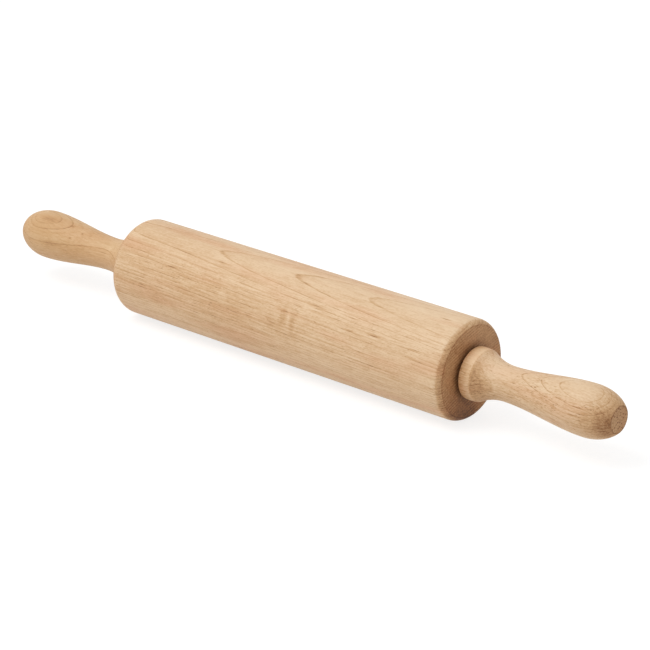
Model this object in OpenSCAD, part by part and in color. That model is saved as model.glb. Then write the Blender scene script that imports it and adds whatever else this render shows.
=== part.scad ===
// Rolling pin: a beech barrel that turns on two ball bearings round a steel axle, which carries
// two turned beech handles. The axle lies along X, +Z is up, and the origin is the centre of the
// barrel, on its axis. Sizes are in millimetres.

/* [Barrel] */
// Diameter of the barrel
barrel_d = 60; // [50:1:90]
// Length of the barrel between its flat end faces
barrel_len = 256; // [180:1:420]
// Length of the rounded edge, measured along the barrel
edge_len = 5.2; // [4:0.1:10]
// Drop of the rounded edge from the barrel's surface to the end face
edge_drop = 2.8; // [1:0.1:3.8]
// Diameter of the hole through the barrel
barrel_bore_d = 14; // [13:0.5:16]

/* [Handles] */
// Gap between the barrel's end face and the handle's collar
handle_gap = 1.8; // [1:0.1:4]
// Length of a handle from the back of its collar to its tip
handle_len = 98.7; // [80:0.1:140]
// Diameter of the collar at its back
collar_back_d = 30.8; // [28:0.1:36]
// Diameter of the collar at its crisp front edge
collar_front_d = 30.4; // [26:0.1:35]
// Length of the collar
collar_len = 7.5; // [5:0.1:12]
// Height of the collar's bulge above the straight line between its two edges
collar_crown = 0.3; // [0.2:0.05:1.5]
// Diameter of the neck
neck_d = 20.8; // [19:0.1:25]
// Distance from the back of the collar to the middle of the neck
neck_at = 25; // [20:0.1:35]
// Diameter of the grip where it is widest
grip_d = 30.4; // [27:0.1:36]
// Distance from the tip to the widest place of the grip
grip_to_tip = 18.7; // [15:0.1:26]
// Width of the flat wooden rim round the end plug
tip_rim = 0.3; // [0.2:0.05:1.5]

/* [Axle] */
// Height of the shoulder that each inner race rests against
shoulder = 1; // [0.6:0.1:1.6]
// Diameter of the threaded ends
thread_d = 6; // [5:0.5:6.5]
// How far the thread's end stands out of the nut
thread_over = 1.5; // [0.5:0.1:2]
// How far the journal's end stays below the face that the nut's washer presses on
journal_short = 0.3; // [0.1:0.1:1]

/* [Bearings] */
// Outer diameter of a bearing
bearing_od = 22; // [21:0.5:24]
// Bore of a bearing
bearing_bore = 8; // [7:0.5:8.5]
// Width of a bearing
bearing_w = 7; // [6.6:0.1:8]
// Depth of the bearing below the barrel's end face
bearing_setback = 0.5; // [0.2:0.1:2]
// Diameter of a ball
ball_d = 3.969; // [3.5:0.001:4]
// Number of balls in a bearing
ball_count = 7; // [5:1:8]
// Play between a ball and the bottom of each groove
ball_play = 0.03; // [0.02:0.01:0.05]
// Radial distance from the ball circle to the land of either race
land_offset = 1.45; // [1.35:0.05:1.5]
// Width of the cage
cage_w = 4.8; // [4.5:0.1:5]
// Thickness of the cage, measured along the radius
cage_t = 1.9; // [1.5:0.1:2]
// Sheet thickness of a shield
shield_t = 0.35; // [0.2:0.05:0.4]
// Depth of the step in the outer race that holds a shield
shield_step = 0.75; // [0.7:0.05:0.8]
// Width of the step in the outer race that holds a shield
shield_ledge = 0.6; // [0.4:0.05:0.8]
// Running gap between a shield and the inner race
shield_gap = 0.2; // [0.1:0.05:0.4]
// Depth of the relief behind each bearing, which keeps the barrel off the inner race
relief_depth = 0.6; // [0.4:0.1:2]

/* [Fasteners] */
// Diameter of the plug that closes the end of a handle
plug_d = 15.6; // [14:0.1:17]
// Length of an end plug
plug_len = 6; // [4:0.1:8]
// Empty space between the end of the axle and the plug
plug_space = 2.9; // [1:0.1:6]
// Size of a lock nut across its flats
nut_af = 10; // [9.5:0.1:11]
// Height of the six-sided part of a lock nut
nut_hex_h = 4.4; // [3.5:0.1:6]
// Height of the round collar on a lock nut, which holds the insert
nut_collar_h = 1.6; // [1.2:0.1:2.5]
// Wall of the round collar on a lock nut
nut_collar_wall = 0.6; // [0.4:0.1:1]
// Diameter of the washer under a lock nut
washer_d = 12.5; // [11:0.1:13.5]
// Thickness of the washer under a lock nut
washer_t = 1.6; // [1:0.1:2.5]

/* [Clearances] */
// Gap between pieces that seat against each other or are pressed together
seat_gap = 0.02; // [0.01:0.01:0.04]
// Radial gap round a plug, and between a ball and its pocket in the cage
pocket_gap = 0.05; // [0.03:0.01:0.08]
// Radial gap of the drilled hole in a handle round the axle
drill_gap = 0.12; // [0.05:0.01:0.3]
// Radial gap of a nut or washer round the thread
thread_gap = 0.03; // [0.02:0.01:0.06]

/* [Hidden] */
SIDES = ["left", "right"];
END_PIECES = [
    "handle", "end_plug", "lock_nut", "nut_insert", "nut_washer", "spacer",
    "inner_race", "outer_race", "balls", "cage", "inboard_shield", "outboard_shield"
];

$fn = 96;
over = 1;
break_edge = 0.3;
arc_steps = 12;
swell_steps = 20;

barrel_r = barrel_d / 2;
half_barrel = barrel_len / 2;

// Bearing: radii of its grooves and lands, and the places of its faces along the axis
pitch_r = (bearing_od + bearing_bore) / 4;
groove_r = 0.52 * ball_d;
groove_reach = ball_d / 2 + ball_play - groove_r;
inner_land_r = pitch_r - land_offset;
outer_land_r = pitch_r + land_offset;
ledge_r = outer_land_r + shield_ledge;
seat_r = bearing_od / 2 + seat_gap;
bearing_x = half_barrel - bearing_setback - bearing_w / 2;
bearing_inboard_x = bearing_x - bearing_w / 2;
bearing_outboard_x = bearing_x + bearing_w / 2;

// Axle and handle: the stack of pieces that the nut clamps, from the bearing to the tip
journal_d = bearing_bore - 2 * seat_gap;
collar_x = half_barrel + handle_gap;
tip_x = collar_x + handle_len;
pocket_r = plug_d / 2 + pocket_gap;
tip_r = pocket_r + tip_rim;
nut_h = nut_hex_h + nut_collar_h;
pocket_depth = plug_len + plug_space + thread_over + nut_h + washer_t + 2 * seat_gap;
pocket_floor_x = tip_x - pocket_depth;
washer_x = pocket_floor_x + seat_gap;
nut_x = washer_x + washer_t + seat_gap;
rod_end_x = nut_x + nut_h + thread_over;
insert_r = nut_af / 2 - nut_collar_wall;

// Points on a circular arc, with angles in degrees
function arc(centre, r, from, to) =
    [for (i = [0:arc_steps]) let (a = from + (to - from) * i / arc_steps) centre + r * [cos(a), sin(a)]];

// Points on a low arc from p to q that bulges by crown to the outer side
function crowned(p, q, crown) = [
    for (i = [0:arc_steps])
        let (s = i / arc_steps, along = q - p, out = [along[1], -along[0]] / norm(along))
        p + along * s + out * crown * 4 * s * (1 - s)
];

// Points from p to q, level at both ends, as a turner blends a neck into a grip
function eased(p, q) = [
    for (i = [0:swell_steps])
        let (s = i / swell_steps)
        [p[0] + (q[0] - p[0]) * s * s * (3 - 2 * s), p[1] + (q[1] - p[1]) * s]
];

// Outlines are [radius, distance along the axis], and are turned round X
function half_barrel_outline() =
    let (r = (edge_len * edge_len + edge_drop * edge_drop) / (2 * edge_drop))
    arc([barrel_r - r, half_barrel - edge_len], r, 0, asin(edge_len / r));

function barrel_outline() = concat(
    half_barrel_outline(),
    [[0, half_barrel], [0, -half_barrel]],
    [for (i = [arc_steps:-1:0]) let (p = half_barrel_outline()[i]) [p[0], -p[1]]]
);

function handle_outline() =
    let (
        back = [collar_back_d / 2, collar_x],
        front = [collar_front_d / 2, collar_x + collar_len],
        neck = [neck_d / 2, collar_x + neck_at],
        grip = [grip_d / 2, tip_x - grip_to_tip],
        cove = neck - front,
        cove_r = (cove[0] * cove[0] + cove[1] * cove[1]) / (-2 * cove[0]),
        cove_points = arc(neck + [cove_r, 0], cove_r, 180 + asin(cove[1] / cove_r), 180),
        tip_angle = acos(tip_r / grip[0]),
        tip_len = grip_to_tip / sin(tip_angle)
    )
    concat(
        [[0, collar_x]],
        crowned(back, front, collar_crown),
        [for (i = [1:arc_steps]) cove_points[i]],
        [for (i = [1:swell_steps]) eased(neck, grip)[i]],
        [for (i = [1:arc_steps])
            let (a = tip_angle * i / arc_steps)
            [grip[0] * cos(a), grip[1] + tip_len * sin(a)]],
        [[0, tip_x]]
    );

module turned(outline) {
    rotate([0, 90, 0])
        rotate_extrude()
            polygon(outline);
}

module round_bar(d, from, to) {
    translate([from, 0, 0])
        rotate([0, 90, 0])
            cylinder(d = d, h = to - from);
}

module tube(inner_d, outer_d, from, to) {
    difference() {
        round_bar(outer_d, from, to);
        round_bar(inner_d, from - over, to + over);
    }
}

// Puts what is drawn for the right end at either end of the pin
module at_end(side) {
    rotate([0, 0, side == "right" ? 0 : 180])
        children();
}

module barrel() {
    color("burlywood")
        difference() {
            turned(barrel_outline());
            round_bar(barrel_bore_d, -half_barrel - over, half_barrel + over);
            for (side = SIDES)
                at_end(side) {
                    round_bar(2 * seat_r, bearing_inboard_x - seat_gap, half_barrel + over);
                    round_bar(2 * outer_land_r, bearing_inboard_x - relief_depth, half_barrel);
                }
        }
}

module axle_rod() {
    shoulder_x = bearing_inboard_x - seat_gap;
    journal_x = pocket_floor_x - journal_short;
    shoulder_r = bearing_bore / 2 + shoulder;
    right_half = [
        [shoulder_r, shoulder_x],
        [journal_d / 2, shoulder_x],
        [journal_d / 2, journal_x],
        [thread_d / 2, journal_x],
        [thread_d / 2, rod_end_x - break_edge],
        [thread_d / 2 - break_edge, rod_end_x],
        [0, rod_end_x]
    ];
    left_half = [for (i = [len(right_half) - 1:-1:0]) [right_half[i][0], -right_half[i][1]]];
    color("silver")
        turned(concat(right_half, left_half));
}

module handle() {
    color("burlywood")
        difference() {
            turned(handle_outline());
            round_bar(journal_d + 2 * drill_gap, collar_x - over, tip_x);
            round_bar(2 * pocket_r, pocket_floor_x, tip_x + over);
        }
}

module end_plug() {
    color("tan")
        round_bar(plug_d, tip_x - plug_len, tip_x);
}

module lock_nut() {
    corner_d = nut_af / cos(30);
    color("gainsboro")
        difference() {
            union() {
                intersection() {
                    translate([nut_x, 0, 0])
                        rotate([0, 90, 0])
                            cylinder(d = corner_d, h = nut_hex_h, $fn = 6);
                    turned([
                        [0, nut_x],
                        [nut_af / 2, nut_x],
                        [corner_d / 2, nut_x + break_edge],
                        [corner_d / 2, nut_x + nut_hex_h - break_edge],
                        [nut_af / 2, nut_x + nut_hex_h],
                        [0, nut_x + nut_hex_h]
                    ]);
                }
                round_bar(nut_af - break_edge, nut_x + nut_hex_h / 2, nut_x + nut_h);
            }
            round_bar(thread_d + 2 * thread_gap, nut_x - over, nut_x + nut_h + over);
            round_bar(2 * insert_r, nut_x + nut_hex_h, nut_x + nut_h + over);
        }
}

module nut_insert() {
    from = nut_x + nut_hex_h + seat_gap;
    color("royalblue")
        tube(thread_d + 2 * thread_gap, 2 * (insert_r - seat_gap), from, nut_x + nut_h);
}

module nut_washer() {
    color("gainsboro")
        tube(thread_d + 2 * drill_gap, washer_d, washer_x, washer_x + washer_t);
}

module spacer() {
    from = bearing_outboard_x + seat_gap;
    color("gainsboro")
        tube(bearing_bore + 2 * seat_gap, 2 * inner_land_r, from, collar_x - seat_gap);
}

// Bearing pieces are drawn with the bearing's middle at the origin
module at_bearing() {
    translate([bearing_x, 0, 0])
        children();
}

module inner_race() {
    bore_r = bearing_bore / 2;
    half_w = bearing_w / 2;
    color("lightsteelblue")
        rotate([0, 90, 0])
            rotate_extrude()
                difference() {
                    polygon([
                        [bore_r + break_edge, -half_w],
                        [inner_land_r, -half_w],
                        [inner_land_r, half_w],
                        [bore_r + break_edge, half_w],
                        [bore_r, half_w - break_edge],
                        [bore_r, -half_w + break_edge]
                    ]);
                    translate([pitch_r - groove_reach, 0])
                        circle(r = groove_r);
                }
}

module outer_race() {
    outer_r = bearing_od / 2;
    half_w = bearing_w / 2;
    step_x = half_w - shield_step;
    color("lightsteelblue")
        rotate([0, 90, 0])
            rotate_extrude()
                difference() {
                    polygon([
                        [ledge_r, -half_w],
                        [outer_r - break_edge, -half_w],
                        [outer_r, -half_w + break_edge],
                        [outer_r, half_w - break_edge],
                        [outer_r - break_edge, half_w],
                        [ledge_r, half_w],
                        [ledge_r, step_x],
                        [outer_land_r, step_x],
                        [outer_land_r, -step_x],
                        [ledge_r, -step_x]
                    ]);
                    translate([pitch_r + groove_reach, 0])
                        circle(r = groove_r);
                }
}

module at_each_ball() {
    for (i = [0:ball_count - 1])
        rotate([i * 360 / ball_count, 0, 0])
            translate([0, 0, pitch_r])
                children();
}

module balls() {
    color("white")
        at_each_ball()
            sphere(d = ball_d);
}

module cage() {
    color("ivory")
        difference() {
            tube(2 * pitch_r - cage_t, 2 * pitch_r + cage_t, -cage_w / 2, cage_w / 2);
            at_each_ball()
                sphere(d = ball_d + 2 * pocket_gap);
        }
}

// A pressed shield: a flat ring with a lip that is held in the outer race's step
module outboard_shield() {
    inside = bearing_w / 2 - shield_step + seat_gap;
    lip = shield_step - 2 * seat_gap;
    rim_r = ledge_r - seat_gap;
    color("slategray")
        turned([
            [inner_land_r + shield_gap, inside],
            [rim_r, inside],
            [rim_r, inside + lip],
            [rim_r - shield_t, inside + lip],
            [rim_r - shield_t, inside + shield_t],
            [inner_land_r + shield_gap, inside + shield_t]
        ]);
}

module inboard_shield() {
    mirror([1, 0, 0])
        outboard_shield();
}

barrel();
axle_rod();
for (side = SIDES) {
    at_end(side) handle();
    at_end(side) end_plug();
    at_end(side) lock_nut();
    at_end(side) nut_insert();
    at_end(side) nut_washer();
    at_end(side) spacer();
    at_end(side) at_bearing() inner_race();
    at_end(side) at_bearing() outer_race();
    at_end(side) at_bearing() balls();
    at_end(side) at_bearing() cage();
    at_end(side) at_bearing() inboard_shield();
    at_end(side) at_bearing() outboard_shield();
}
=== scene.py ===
import math
from functools import reduce
from operator import add

import bmesh
import bpy
from bpy.props import FloatProperty, FloatVectorProperty, IntProperty, PointerProperty
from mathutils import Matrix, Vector


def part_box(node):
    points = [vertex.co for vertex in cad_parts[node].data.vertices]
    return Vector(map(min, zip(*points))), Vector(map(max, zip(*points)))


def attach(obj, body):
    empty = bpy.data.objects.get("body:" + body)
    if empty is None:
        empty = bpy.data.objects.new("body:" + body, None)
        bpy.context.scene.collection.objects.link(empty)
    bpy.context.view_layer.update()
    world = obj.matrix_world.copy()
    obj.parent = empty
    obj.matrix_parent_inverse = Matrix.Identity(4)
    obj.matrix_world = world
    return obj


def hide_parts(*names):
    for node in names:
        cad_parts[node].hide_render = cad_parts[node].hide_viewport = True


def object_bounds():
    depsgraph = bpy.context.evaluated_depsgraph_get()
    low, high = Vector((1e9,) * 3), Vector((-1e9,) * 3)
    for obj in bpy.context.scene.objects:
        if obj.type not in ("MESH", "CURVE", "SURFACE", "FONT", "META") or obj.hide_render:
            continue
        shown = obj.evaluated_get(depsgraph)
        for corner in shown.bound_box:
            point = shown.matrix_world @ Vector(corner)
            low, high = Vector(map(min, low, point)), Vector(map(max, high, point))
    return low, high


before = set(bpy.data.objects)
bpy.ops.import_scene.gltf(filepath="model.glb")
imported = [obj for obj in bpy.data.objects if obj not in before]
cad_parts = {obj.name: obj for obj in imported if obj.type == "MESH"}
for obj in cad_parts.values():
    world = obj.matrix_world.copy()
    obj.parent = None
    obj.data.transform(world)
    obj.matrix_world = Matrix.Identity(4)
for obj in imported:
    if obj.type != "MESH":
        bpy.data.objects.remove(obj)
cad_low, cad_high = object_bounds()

bl_info = {
    "name": "Rolling Pin Looks",
    "version": (1, 0, 0),
    "blender": (4, 5, 0),
    "location": "3D View > Sidebar > Rolling Pin",
    "description": "Turns the wooden pieces of a rolling pin and gives every piece its finish",
    "category": "Object",
}

MM = 0.001
SIDES = ("left", "right")
BARREL_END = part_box("barrel")[1]
HANDLE_BACK, HANDLE_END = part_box("right_handle")
PLUG_BACK, PLUG_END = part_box("right_end_plug")


def from_screen(*levels):
    """A colour written in screen values from 0 to 255, as the linear colour that shaders take."""
    shares = [level / 255 for level in levels]
    return tuple(s / 12.92 if s <= 0.04045 else ((s + 0.055) / 1.055) ** 2.4 for s in shares)


def length(name, description, default):
    return FloatProperty(
        name=name, description=description, default=round(default, 6), min=0.0, precision=5,
        subtype="DISTANCE", unit="LENGTH",
    )


def share(name, description, default):
    return FloatProperty(
        name=name, description=description, default=default, min=0.0, max=1.0, subtype="FACTOR"
    )


def colour(name, description, default):
    return FloatVectorProperty(
        name=name, description=description, default=default, min=0.0, max=1.0, size=3, subtype="COLOR"
    )


def position(name, description, default):
    return FloatVectorProperty(
        name=name, description=description, default=default, size=3, subtype="TRANSLATION", unit="LENGTH"
    )


def camera_length(name, description, default):
    return FloatProperty(
        name=name, description=description, default=default, min=1.0,
        subtype="DISTANCE_CAMERA", unit="CAMERA",
    )


class PinSizes(bpy.types.PropertyGroup):
    """Sizes of the turned wooden pieces, as the CAD solids have them."""

    barrel_radius: length("Barrel Radius", "Radius of the barrel", BARREL_END.z)
    half_barrel: length("Half Barrel", "From the barrel's middle to its end face", BARREL_END.x)
    edge_length: length("Edge Length", "Length of the barrel's rounded edge along the axis", 5.2 * MM)
    edge_drop: length("Edge Drop", "Drop of the rounded edge to the end face", 2.8 * MM)
    bore_radius: length("Bore Radius", "Radius of the hole through the barrel", 7 * MM)
    relief_radius: length("Relief Radius", "Radius of the relief behind the bearing", 8.95 * MM)
    relief_depth: length("Relief Depth", "Depth of the relief behind the bearing", 0.6 * MM)
    seat_radius: length("Seat Radius", "Radius of the seat that holds the bearing", 11.02 * MM)
    seat_depth: length("Seat Depth", "Depth of the bearing's seat below the end face", 7.52 * MM)
    collar_place: length("Collar Place", "Place of the collar's back along the axis", HANDLE_BACK.x)
    collar_back: length("Collar Back", "Radius of the collar at its back", 15.4 * MM)
    collar_front: length("Collar Front", "Radius of the collar at its crisp front edge", 15.2 * MM)
    collar_length: length("Collar Length", "Length of the collar", 7.5 * MM)
    collar_crown: length("Collar Crown", "Height of the collar's bulge", 0.3 * MM)
    neck_radius: length("Neck Radius", "Radius of the handle's neck", 10.4 * MM)
    neck_place: length("Neck Place", "From the collar's back to the middle of the neck", 25 * MM)
    grip_radius: length("Grip Radius", "Largest radius of the grip", 15.2 * MM)
    grip_to_tip: length("Grip to Tip", "From the tip back to the widest place of the grip", 18.7 * MM)
    tip_place: length("Tip Place", "Place of the handle's tip along the axis", HANDLE_END.x)
    tip_radius: length("Tip Radius", "Radius of the flat tip", 8.15 * MM)
    hole_radius: length("Hole Radius", "Radius of the hole for the axle", 4.1 * MM)
    pocket_radius: length("Pocket Radius", "Radius of the pocket for the lock nut and plug", 7.85 * MM)
    pocket_floor: length("Pocket Floor", "Place of the pocket's floor along the axis", 210.46 * MM)
    plug_radius: length("Plug Radius", "Radius of the end plug", PLUG_END.z)
    plug_length: length("Plug Length", "Length of the end plug", PLUG_END.x - PLUG_BACK.x)
    face_ease: length("Face Ease", "Eased corner round the barrel's end face", 0.25 * MM)
    seat_ease: length("Seat Ease", "Eased corner of the bearing's seat", 0.3 * MM)
    collar_ease: length("Collar Ease", "Eased corner at the collar's back", 0.9 * MM)
    hole_ease: length("Hole Ease", "Eased corner of the axle's hole", 0.3 * MM)
    front_ease: length("Front Ease", "Eased corner at the collar's front edge", 0.18 * MM)
    tip_ease: length("Tip Ease", "Eased corners of the tip and the plug's face", 0.12 * MM)
    plug_ease: length("Plug Ease", "Eased corner at the plug's hidden end", 0.4 * MM)
    turns: IntProperty(
        name="Turns", description="Steps round each turned piece", default=192, min=24, max=256
    )


class PinFinish(bpy.types.PropertyGroup):
    """Colours of the wood and the other materials."""

    pale: colour("Pale Wood", "Lightest early wood", from_screen(247, 224, 194))
    wood: colour("Wood", "Usual colour of the beech", from_screen(231, 200, 163))
    tan: colour("Tan Wood", "Darker bands of the beech", from_screen(208, 167, 122))
    brown: colour("Brown Wood", "Late wood and end grain", from_screen(158, 110, 68))
    dark: colour("Dark Wood", "Pores and ray flecks", from_screen(92, 60, 36))
    blush: colour("Blush", "Pinkish tint of steamed beech", from_screen(236, 192, 164))
    steel: colour("Steel", "Bare steel", from_screen(186, 188, 190))
    zinc: colour("Zinc", "Zinc plating", from_screen(196, 200, 206))
    shield: colour("Shield", "Pressed sheet of the bearing shields", from_screen(168, 170, 172))
    cage: colour("Cage Nylon", "Natural nylon of the ball cages", from_screen(226, 218, 196))
    insert: colour("Insert Nylon", "Blue nylon of the lock nuts", from_screen(44, 92, 160))
    grain: share("Grain", "Strength of the growth rings", 0.5)


class PinStage(bpy.types.PropertyGroup):
    """The floor, the light and the camera."""

    floor: colour("Floor", "Plain floor under the pin", from_screen(240, 240, 240))
    floor_size: length("Floor Size", "Length of the floor's sides", 8.0)
    floor_glow: share("Floor Glow", "Glow of the floor where it is seen", 0.78)
    floor_shade: share("Floor Shade", "How strongly the floor shows the pin's shadow", 0.34)
    sky: share("Sky", "Strength of the even light from all round", 0.61)
    lamp_place: position("Lamp Place", "Place of the soft lamp", (-0.42, -0.76, 1.46))
    lamp_width: length("Lamp Width", "Width of the soft lamp's disc", 1.1)
    lamp_power: FloatProperty(
        name="Lamp Power", description="Power of the soft lamp", default=12.0, min=0.0,
        subtype="POWER", unit="POWER",
    )
    camera_place: position("Camera Place", "Place of the camera", (0.95610, -1.09755, 0.59827))
    camera_target: position("Camera Target", "Where the camera looks", (0.019362, 0.0, -0.000897))
    lens: camera_length("Lens", "Focal length of the camera", 147.229)
    sensor: camera_length("Sensor", "Width of the camera's sensor", 36.0)


class Signal:
    """The output of a node, with arithmetic that adds Math nodes."""

    def __init__(self, recipe, socket):
        self.recipe, self.socket = recipe, socket

    def output(self, key):
        """Another output of the same node."""
        return Signal(self.recipe, self.socket.node.outputs[key])

    def math(self, operation, *values):
        return self.recipe.node("ShaderNodeMath", {"operation": operation}, dict(enumerate(values)))

    def __add__(self, other):
        return self.math("ADD", self, other)

    def __sub__(self, other):
        return self.math("SUBTRACT", self, other)

    def __rsub__(self, other):
        return self.math("SUBTRACT", other, self)

    def __mul__(self, other):
        return self.math("MULTIPLY", self, other)

    def __truediv__(self, other):
        return self.math("DIVIDE", self, other)

    def __pow__(self, other):
        return self.math("POWER", self, other)

    __radd__ = __add__
    __rmul__ = __mul__

    def fraction(self):
        return self.math("FRACT", self)

    def whole(self):
        return self.math("FLOOR", self)

    def size(self):
        return self.math("ABSOLUTE", self)

    def root(self):
        return self.math("SQRT", self)

    def exponential(self):
        return self.math("EXPONENT", self)

    def larger(self, other):
        return self.math("MAXIMUM", self, other)

    def smooth(self, low, high):
        """Rises smoothly from 0 at low to 1 at high, or falls where low is the larger."""
        rise = self.recipe.node(
            "ShaderNodeMapRange",
            {"interpolation_type": "SMOOTHSTEP"},
            {"Value": self, "From Min": min(low, high), "From Max": max(low, high)},
        )
        return 1 - rise if low > high else rise

    def lifted(self, floor):
        """Runs from a floor to 1 instead of from 0 to 1."""
        return self * (1 - floor) + floor


class Recipe:
    """The nodes of one material, or of the world."""

    def __init__(self, owner):
        self.owner = owner
        owner.use_nodes = True
        self.tree = owner.node_tree
        self.tree.nodes.clear()

    def node(self, kind, settings=None, sockets=None, output=0):
        """Adds a node: its settings first, then the values or links of its sockets."""
        made = self.tree.nodes.new(kind)
        for key, value in (settings or {}).items():
            if key == "stops":
                self.set_stops(made.color_ramp, value)
            else:
                setattr(made, key, value)
        for key, value in (sockets or {}).items():
            if isinstance(value, Signal):
                self.tree.links.new(value.socket, made.inputs[key])
            else:
                made.inputs[key].default_value = value
        return Signal(self, made.outputs[output]) if len(made.outputs) else None

    @staticmethod
    def set_stops(ramp, stops):
        while len(ramp.elements) < len(stops):
            ramp.elements.new(1.0)
        for element, (place, tint) in zip(ramp.elements, stops):
            element.position = place
            element.color = (*tint, 1.0)

    def place(self):
        """The three Object coordinates, in millimetres."""
        spot = self.node("ShaderNodeTexCoord", output="Object")
        scaled = self.node("ShaderNodeVectorMath", {"operation": "SCALE"}, {0: spot, "Scale": 1 / MM})
        return self.parts(scaled)

    def parts(self, vector):
        """X, Y and Z of a vector, or red, green and blue of a colour."""
        first = self.node("ShaderNodeSeparateXYZ", {}, {0: vector})
        return [first.output(i) for i in range(3)]

    def vector(self, x, y, z):
        return self.node("ShaderNodeCombineXYZ", {}, {0: x, 1: y, 2: z})

    def noise(self, x, y, z, detail=2.0, roughness=0.5, distortion=0.0):
        """Soft cloudy noise from 0 to 1 over the three given coordinates."""
        sockets = {
            "Vector": self.vector(x, y, z), "Scale": 1.0, "Detail": detail,
            "Roughness": roughness, "Distortion": distortion,
        }
        return self.node("ShaderNodeTexNoise", {"noise_dimensions": "3D"}, sockets)

    def cells(self, x, y, z, scatter=1.0):
        """Distance to scattered points over the three given coordinates. Its Color output is random."""
        sockets = {"Vector": self.vector(x, y, z), "Scale": 1.0, "Randomness": scatter}
        return self.node("ShaderNodeTexVoronoi", {"feature": "F1"}, sockets, "Distance")

    def random(self, number):
        return self.node("ShaderNodeTexWhiteNoise", {"noise_dimensions": "1D"}, {"W": number})

    def mix(self, factor, a, b, blend="MIX"):
        a, b = (c if isinstance(c, Signal) else (*c, 1.0) for c in (a, b))
        return self.node(
            "ShaderNodeMix", {"data_type": "RGBA", "blend_type": blend}, {0: factor, 6: a, 7: b}, output=2
        )

    def ramp(self, factor, stops):
        return self.node("ShaderNodeValToRGB", {"stops": stops}, {"Fac": factor})

    def bump(self, height, strength, distance):
        return self.node(
            "ShaderNodeBump", {}, {"Height": height, "Strength": strength, "Distance": distance}
        )

    def looked_at(self):
        """1 where the camera or a reflection looks at it, and 0 where it only gives light."""
        path = self.node("ShaderNodeLightPath", output="Is Camera Ray")
        return path.larger(path.output("Is Glossy Ray")).larger(path.output("Is Transmission Ray"))

    def surface(self, **sockets):
        """The finished material. Socket names are written with underscores."""
        named = {key.replace("_", " "): value for key, value in sockets.items()}
        shader = self.node("ShaderNodeBsdfPrincipled", {}, named)
        self.node("ShaderNodeOutputMaterial", {}, {"Surface": shader})
        return self.owner


def new_recipe(name):
    return Recipe(bpy.data.materials.new(name))


def around(angle, radius):
    """Y and Z, in millimetres, of a place at an angle above the front of the pin, in degrees."""
    return -radius * math.cos(math.radians(angle)), radius * math.sin(math.radians(angle))


# The noises in the wood, with their sizes in millimetres along the grain and in two directions across it
SWAY = {"size": (60, 16, 16), "detail": 1.0}
WAVER = {"size": (12, 2.6, 2.6), "detail": 2.0}
GAPS = {"size": (15, 2.2, 2.2), "detail": 3.0}
FIBRE = {"size": (26, 0.8, 0.8), "detail": 3.0, "roughness": 0.6}
HAIR = {"size": (5, 0.42, 0.42), "detail": 2.0, "roughness": 0.6}
VEINS = {"size": (75, 2.0, 1.6), "detail": 1.5}
BANDS = {"size": (85, 13, 2.6), "detail": 2.0}
MOTTLE = {"size": (10, 4, 4), "detail": 3.0, "distortion": 0.6}
SPECKLE = {"size": (1.6, 0.9, 0.9), "detail": 1.0}
TINT = {"size": (60, 11, 11), "detail": 1.0}
DASH_SIZE, FLECK_SIZE = (15, 0.6, 0.6), (3, 0.5, 0.5)
HATCH_SIZE = 9
HALF = 0.5

# Levels between which a mark fades in, or out where the first is the larger
GAP_LEVELS = (0.36, 0.60)
VEIN_LEVELS = (0.06, 0.01)
DASH_LEVELS, DASH_PICK = (0.36, 0.08), (0.50, 0.98)
FLECK_LEVELS, FLECK_PICK = (0.40, 0.12), (0.5, 0.95)
HATCH_LEVELS, CUT_LEVELS = (0.40, 0.62), (0.5, 0.0)
PORE_LEVELS, PORE_PICK = (0.44, 0.12), (0.30, 0.50)
SEAM_LEVELS = (0.22, 0.04)
TINT_LEVELS = (0.45, 0.75)
LINE_START = 0.96
SQUARE_CUT = 0.985

# What is left of each where it fades most
STEEP_FLOOR, FAINT_FLOOR, RING_FLOOR = 0.1, 0.15, 0.4
HATCH_FLOOR, CALM_FLOOR, SEAM_FLOOR = 0.2, 0.2, 0.4

# Means of the end grain's rings and pores, which keep its tone, and other habits of the rings and pores
CUT_MEAN, PORE_MEAN = 0.3, 0.25
LATE_POWER, HEART_WAVER, PORE_SCATTER = 3, 0.5, 0.45

# What each adds to the tone, which runs from 0, pale, to 1, dark
BAND_TONE, FIBRE_TONE, HAIR_TONE, MOTTLE_TONE = 0.16, 0.32, 0.28, 0.16
DASH_TONE, FLECK_TONE, VEIN_TONE, CUT_FLECK_TONE = 0.22, 0.20, 0.07, 0.12
LINE_TONE, LATE_TONE, PORE_TONE = 0.46, 0.10, 0.26
# The tones at which the five colours of the wood stand, from the palest to the darkest
TINT_TONES = (0.0, 0.34, 0.56, 0.80, 1.0)

# Gloss and relief: what fibres and end grain add to the roughness, and how high or deep each thing lies
ROUGHNESS, FIBRE_ROUGHNESS, END_ROUGHNESS, SPECULAR = 0.54, 0.16, 0.10, 0.4
FIBRE_HEIGHT, HAIR_HEIGHT, PIT_DEPTH = 0.5, 0.25, 0.4
RELIEF, RELIEF_DEPTH = 0.25, 0.08 * MM


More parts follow.
